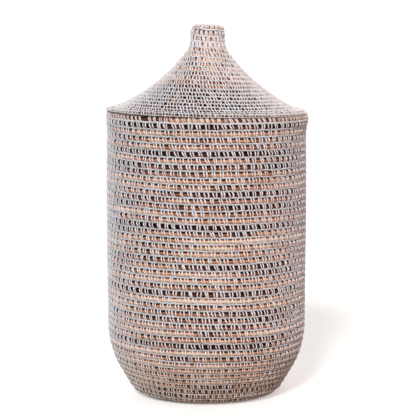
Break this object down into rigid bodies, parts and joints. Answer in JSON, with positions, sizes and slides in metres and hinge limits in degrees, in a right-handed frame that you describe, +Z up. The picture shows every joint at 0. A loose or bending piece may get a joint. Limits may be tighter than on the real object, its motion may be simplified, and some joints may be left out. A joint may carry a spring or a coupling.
{
  "type": "laundry basket",
  "caption": "Tall round laundry hamper of coiled grass lashed with white strip, rounded in at the base, with a hollow-sided conical lid that lifts off by its coiled knob.",
  "frame": {"origin": "centre of the base's underside, on the floor", "axes": "+Z up along the basket's axis, towards the lid's knob; the basket is round, so X and Y are any two level directions"},
  "size_m": [0.4, 0.4, 0.744],
  "materials": {
    "grass": "matte",
    "strip": "satin"
  },
  "bodies": {
    "basket": {"base_start_knot": "grass", "base_coils": "grass", "base_lashing": "strip", "lower_wall_coils": "grass", "lower_wall_lashing": "strip", "wall_coils": "grass", "wall_lashing": "strip", "rim_coil": "grass", "rim_lashing": "strip"},
    "lid": {"lid_start_knot": "grass", "knob_coils": "grass", "knob_lashing": "strip", "cone_coils": "grass", "cone_lashing": "strip", "brim_coil": "grass", "brim_lashing": "strip", "locating_ring_coils": "grass", "locating_ring_lashing": "strip"}
  },
  "joints": [
    {"name": "lid_lift", "type": "slide", "parent": "basket", "child": "lid", "axis": [0, 0, 1], "range_m": [0, 0.3]}
  ]
}
